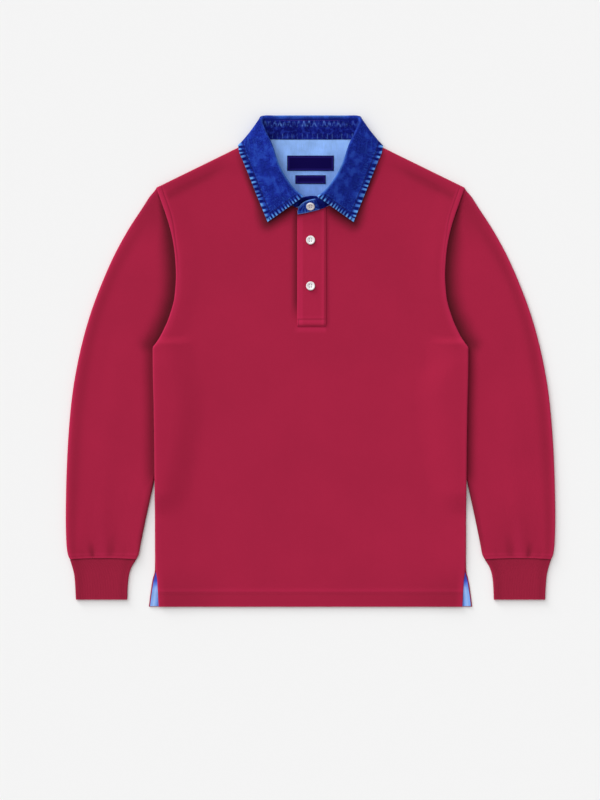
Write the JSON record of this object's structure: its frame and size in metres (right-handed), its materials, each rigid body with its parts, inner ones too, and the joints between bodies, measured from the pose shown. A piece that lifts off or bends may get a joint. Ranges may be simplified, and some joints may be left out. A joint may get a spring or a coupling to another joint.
{
  "type": "long-sleeve polo shirt",
  "caption": "Long-sleeve rugby polo shirt laid flat and face up, with a contrast denim collar, buttoned placket, ribbed cuffs and side vents.",
  "frame": {"origin": "middle of the shirt's outline, on the surface that it lies on", "axes": "+Y from the hem to the collar, +Z out of the buttoned front, +X to the wearer's left"},
  "size_m": [0.7826, 0.7848, 0.0285],
  "materials": {
    "crimson_jersey": "brushed cotton jersey",
    "crimson_rib": "ribbed cotton knit",
    "indigo_denim": "washed denim",
    "sky_chambray": "plain-weave chambray",
    "navy_label": "woven satin",
    "white_button": "pearly"
  },
  "bodies": {
    "root": {"front": "crimson_jersey", "back": "crimson_jersey", "sleeve_left": "crimson_jersey", "sleeve_right": "crimson_jersey", "cuff_left": "crimson_rib", "cuff_right": "crimson_rib", "collar_stand": "indigo_denim", "collar_leaf": "indigo_denim", "placket_under": "crimson_jersey", "placket_over": "crimson_jersey", "neck_lining": "sky_chambray", "vent_tape_left": "sky_chambray", "vent_tape_right": "sky_chambray", "label_main": "navy_label", "label_small": "navy_label", "button_1": "white_button", "button_2": "white_button", "button_3": "white_button"}
  },
  "joints": []
}
